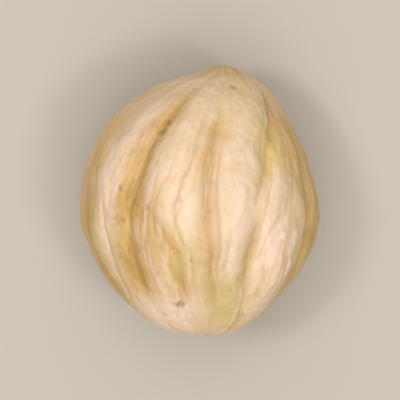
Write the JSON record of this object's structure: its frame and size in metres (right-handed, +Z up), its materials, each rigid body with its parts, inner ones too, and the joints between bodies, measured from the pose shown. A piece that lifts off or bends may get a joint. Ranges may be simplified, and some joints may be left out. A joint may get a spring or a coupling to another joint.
{
  "type": "hazelnut kernel",
  "caption": "Shelled and blanched hazelnut kernel: a ribbed, slightly leaning teardrop with a blunt base and a bare, pale cream surface, lying on its side.",
  "frame": {"origin": "middle of the kernel's outline seen from above, on the surface that it lies on", "axes": "+Z up, +Y along the kernel from its blunt base towards its tip, +X across it"},
  "size_m": [0.0126, 0.014, 0.0119],
  "materials": {
    "kernel": "satin, slightly waxy nut flesh"
  },
  "bodies": {
    "root": {"kernel": "kernel"}
  },
  "joints": []
}
